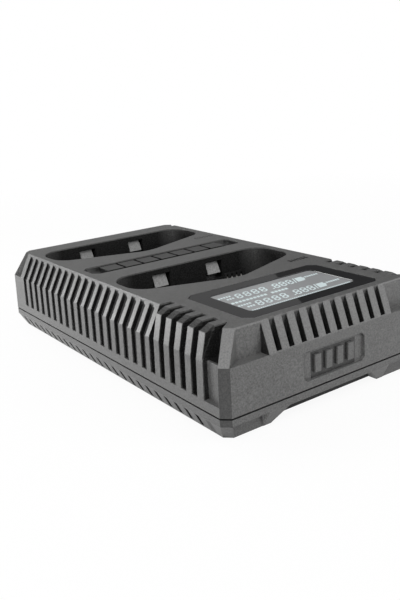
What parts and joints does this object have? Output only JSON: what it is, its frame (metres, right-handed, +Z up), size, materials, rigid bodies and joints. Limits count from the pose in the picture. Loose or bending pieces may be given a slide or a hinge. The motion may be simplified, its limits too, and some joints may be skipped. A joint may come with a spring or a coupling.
{
  "type": "camera battery charger",
  "caption": "Desktop camera battery charger with two open bays, a display window in a sloping-sided ribbed body and a power inlet at the back.",
  "frame": {"origin": "middle of the underside, on the surface that the feet stand on", "axes": "+X along the front to the right, +Y from the front plate to the back with the inlet, +Z up"},
  "size_m": [0.084, 0.1478, 0.0313],
  "materials": {
    "cover": "fine moulded grain",
    "window": "smoked gloss",
    "lcd": "satin",
    "tray": "white",
    "board": "green resist",
    "screw": "zinc plated",
    "header": "black",
    "blade": "gold flashed",
    "shell": "bright",
    "coil": "ferrite grey",
    "can": "satin can",
    "chip": "epoxy black",
    "fuse": "ceramic beige"
  },
  "bodies": {
    "root": {"top_cover": "cover", "bottom_cover": "cover", "display_window": "window", "lcd_glass": "lcd", "backlight_tray": "tray", "display_board": "board", "circuit_board": "board", "case_screws": "screw", "display_screws": "screw", "riser_header": "header", "contact_block_front": "header", "contact_block_rear": "header", "contact_blades_front": "blade", "contact_blades_rear": "blade", "inlet_shell": "shell", "inlet_tongue": "header", "power_inductors": "coil", "filter_capacitors": "can", "controller_chip": "chip", "charge_switches": "chip", "input_fuse": "fuse"}
  },
  "joints": []
}
